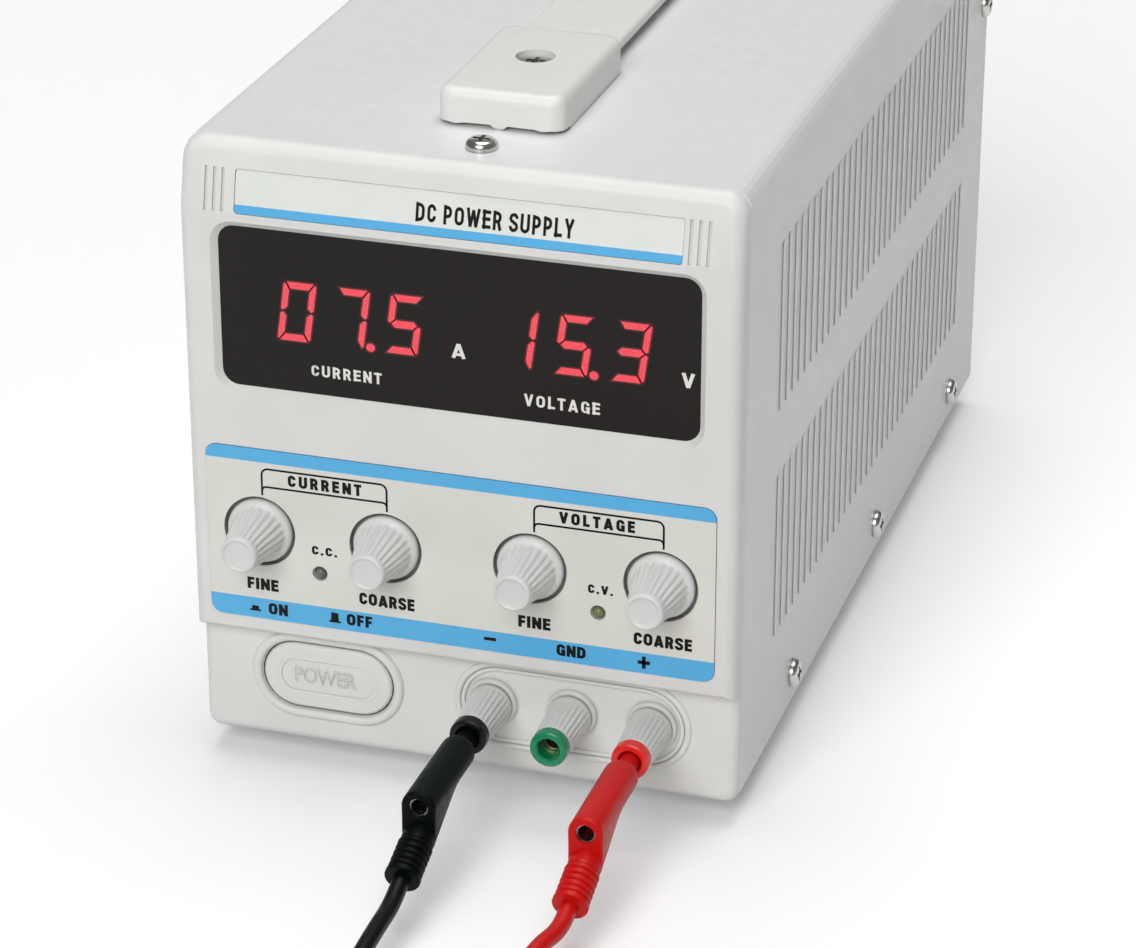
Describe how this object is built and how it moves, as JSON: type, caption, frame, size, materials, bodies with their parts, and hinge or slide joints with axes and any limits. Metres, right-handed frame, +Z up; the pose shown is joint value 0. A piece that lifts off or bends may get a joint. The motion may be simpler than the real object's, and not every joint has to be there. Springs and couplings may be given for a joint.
{
  "type": "laboratory power supply",
  "caption": "Bench power supply with a digital display, control knobs, binding posts, a carrying strap, louvred cover, rear fan and two plugged-in test leads.",
  "frame": {"origin": "on the table under the middle of the supply, leads left out", "axes": "+X to the right seen from the front, +Y to the rear, +Z up"},
  "size_m": [0.1694, 0.4557, 0.171],
  "materials": {
    "bezel_plastic": "fine texture",
    "window_plastic": "polished, dark tinted",
    "label_film": "satin",
    "strip_metal": "satin",
    "cover_paint": "powder coat",
    "chassis_steel": "zinc plated",
    "foot_rubber": "matt",
    "handle_plastic": "satin",
    "nickel": "polished",
    "core_steel": "varnished",
    "winding": "taped copper",
    "black_plastic": "fine texture",
    "capacitor_sleeve": "glossy",
    "circuit_board": "solder mask",
    "heatsink": "extruded",
    "display_face": "matt",
    "pot_steel": "plated",
    "led_lens": "clear",
    "inlet_plastic": "moulded",
    "barrel_grey": "moulded",
    "post_brass": "nickelled",
    "slider_red": "moulded",
    "collar_black": "moulded",
    "collar_green": "moulded",
    "collar_red": "moulded",
    "knob_plastic": "satin",
    "plug_black": "moulded",
    "cord_black": "soft",
    "plug_red": "moulded",
    "cord_red": "soft"
  },
  "bodies": {
    "housing": {"bezel": "bezel_plastic", "display_window": "window_plastic", "control_label": "label_film", "name_strip": "strip_metal", "cover": "cover_paint", "chassis_tray": "chassis_steel", "rear_panel": "chassis_steel", "feet": "foot_rubber", "handle_front_cap": "handle_plastic", "handle_rear_cap": "handle_plastic", "case_screws": "nickel", "transformer_core": "core_steel", "transformer_winding": "winding", "bridge_rectifier": "black_plastic", "filter_capacitors": "capacitor_sleeve", "main_board": "circuit_board", "heatsink": "heatsink", "pass_transistors": "black_plastic", "front_board": "circuit_board", "display_digits": "display_face", "potentiometers": "pot_steel", "indicator_leds": "led_lens", "power_switch": "black_plastic", "fan_frame": "black_plastic", "fan_guard": "nickel", "mains_inlet": "inlet_plastic", "voltage_selector": "inlet_plastic", "post_bases": "barrel_grey", "post_studs": "post_brass", "post_nuts": "nickel", "strap_front_end": "handle_plastic"},
    "strap_front_arm": {"strap_front_arm": "handle_plastic"},
    "strap_rear_arm": {"strap_rear_arm": "handle_plastic"},
    "strap_tongue": {"strap_tongue": "handle_plastic"},
    "fan_rotor": {"fan_rotor": "black_plastic"},
    "fuse_drawer": {"fuse_drawer": "inlet_plastic"},
    "selector_slider": {"selector_slider": "slider_red"},
    "power_button": {"power_button": "knob_plastic"},
    "collar_black": {"collar_black": "collar_black"},
    "barrel_black": {"barrel_black": "barrel_grey"},
    "collar_green": {"collar_green": "collar_green"},
    "barrel_green": {"barrel_green": "barrel_grey"},
    "collar_red": {"collar_red": "collar_red"},
    "barrel_red": {"barrel_red": "barrel_grey"},
    "knob_1": {"knob_1": "knob_plastic", "pot_shaft_1": "pot_steel"},
    "knob_2": {"knob_2": "knob_plastic", "pot_shaft_2": "pot_steel"},
    "knob_3": {"knob_3": "knob_plastic", "pot_shaft_3": "pot_steel"},
    "knob_4": {"knob_4": "knob_plastic", "pot_shaft_4": "pot_steel"},
    "lead_black": {"plug_black": "plug_black", "cord_black": "cord_black", "coil_black": "cord_black", "end_plug_black": "plug_black"},
    "lead_red": {"plug_red": "plug_red", "cord_red": "cord_red", "coil_red": "cord_red", "end_plug_red": "plug_red"}
  },
  "joints": [
    {"name": "strap_lift", "type": "hinge", "parent": "housing", "child": "strap_front_arm", "pos_m": [0.0018, -0.0517, 0.1672], "axis": [1, 0, 0], "range_deg": [0, 18]},
    {"name": "strap_fold", "type": "hinge", "parent": "strap_front_arm", "child": "strap_rear_arm", "pos_m": [0.0018, 0.0063, 0.1642], "axis": [1, 0, 0], "range_deg": [-36, 0]},
    {"name": "strap_tongue_turn", "type": "hinge", "parent": "strap_rear_arm", "child": "strap_tongue", "pos_m": [0.0018, 0.0643, 0.1672], "axis": [1, 0, 0], "range_deg": [0, 18]},
    {"name": "fan_spin", "type": "hinge", "parent": "housing", "child": "fan_rotor", "pos_m": [0, 0.1253, 0.11], "axis": [0, 1, 0], "continuous": true},
    {"name": "fuse_drawer_slide", "type": "slide", "parent": "housing", "child": "fuse_drawer", "axis": [0, 1, 0], "range_m": [0, 0.02]},
    {"name": "voltage_select", "type": "slide", "parent": "housing", "child": "selector_slider", "axis": [1, 0, 0], "range_m": [0, 0.007]},
    {"name": "power_press", "type": "slide", "parent": "housing", "child": "power_button", "axis": [0, 1, 0], "range_m": [-0.0025, 0.001]},
    {"name": "knob_1_turn", "type": "hinge", "parent": "housing", "child": "knob_1", "pos_m": [-0.05, -0.1347, 0.0644], "axis": [0, 1, 0], "range_deg": [-150, 150]},
    {"name": "knob_2_turn", "type": "hinge", "parent": "housing", "child": "knob_2", "pos_m": [-0.018, -0.1347, 0.0644], "axis": [0, 1, 0], "range_deg": [-150, 150]},
    {"name": "knob_3_turn", "type": "hinge", "parent": "housing", "child": "knob_3", "pos_m": [0.018, -0.1347, 0.0644], "axis": [0, 1, 0], "range_deg": [-150, 150]},
    {"name": "knob_4_turn", "type": "hinge", "parent": "housing", "child": "knob_4", "pos_m": [0.05, -0.1347, 0.0644], "axis": [0, 1, 0], "range_deg": [-150, 150]},
    {"name": "post_black_advance", "type": "slide", "parent": "housing", "child": "collar_black", "axis": [0, -1, 0], "range_m": [0, 0.0035]},
    {"name": "post_black_turn", "type": "hinge", "parent": "collar_black", "child": "barrel_black", "pos_m": [0.007, -0.1347, 0.025], "axis": [0, -1, 0], "range_deg": [0, 1800]},
    {"name": "post_green_advance", "type": "slide", "parent": "housing", "child": "collar_green", "axis": [0, -1, 0], "range_m": [0, 0.0035]},
    {"name": "post_green_turn", "type": "hinge", "parent": "collar_green", "child": "barrel_green", "pos_m": [0.027, -0.1347, 0.025], "axis": [0, -1, 0], "range_deg": [0, 1800]},
    {"name": "post_red_advance", "type": "slide", "parent": "housing", "child": "collar_red", "axis": [0, -1, 0], "range_m": [0, 0.0035]},
    {"name": "post_red_turn", "type": "hinge", "parent": "collar_red", "child": "barrel_red", "pos_m": [0.047, -0.1347, 0.025], "axis": [0, -1, 0], "range_deg": [0, 1800]},
    {"name": "lead_black_pull", "type": "slide", "parent": "housing", "child": "lead_black", "axis": [0, -1, 0], "range_m": [0, 0.024]},
    {"name": "lead_red_pull", "type": "slide", "parent": "housing", "child": "lead_red", "axis": [0, -1, 0], "range_m": [0, 0.024]}
  ],
  "couplings": [
    {"joint": "strap_fold", "follows": "strap_lift", "ratio": -2},
    {"joint": "strap_tongue_turn", "follows": "strap_lift", "ratio": 1},
    {"joint": "post_black_turn", "follows": "post_black_advance", "rad_per_m": 8975.9},
    {"joint": "post_green_turn", "follows": "post_green_advance", "rad_per_m": 8975.9},
    {"joint": "post_red_turn", "follows": "post_red_advance", "rad_per_m": 8975.9}
  ]
}
